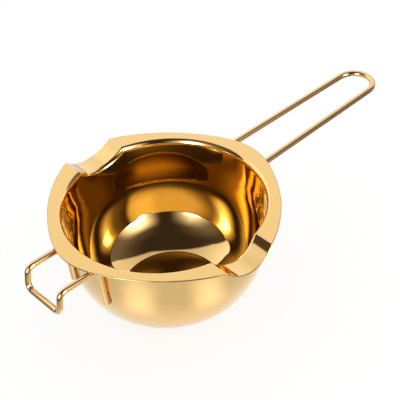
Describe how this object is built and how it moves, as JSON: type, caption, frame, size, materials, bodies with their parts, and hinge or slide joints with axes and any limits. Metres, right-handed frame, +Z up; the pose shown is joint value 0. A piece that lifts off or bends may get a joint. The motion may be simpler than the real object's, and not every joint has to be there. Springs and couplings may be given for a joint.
{
  "type": "melting bowl",
  "caption": "Round metal melting bowl with a wide flange, opposed pouring spouts, a long looped wire handle and a wire hook that rests on the rim of a pot.",
  "frame": {"origin": "centre of the underside of the flat bottom", "axes": "+Z up along the bowl's axis, +X towards the long handle, spouts on the Y axis"},
  "size_m": [0.2622, 0.1438, 0.0682],
  "materials": {
    "bowl_gold": "gold-tinted mirror polish",
    "wire_gold": "gold-tinted polished wire",
    "weld_gold": "gold-tinted weld metal, satin"
  },
  "bodies": {
    "root": {"bowl": "bowl_gold", "long_handle": "wire_gold", "rest_hook": "wire_gold", "handle_weld_left": "weld_gold", "handle_weld_right": "weld_gold", "hook_weld_left": "weld_gold", "hook_weld_right": "weld_gold"}
  },
  "joints": []
}
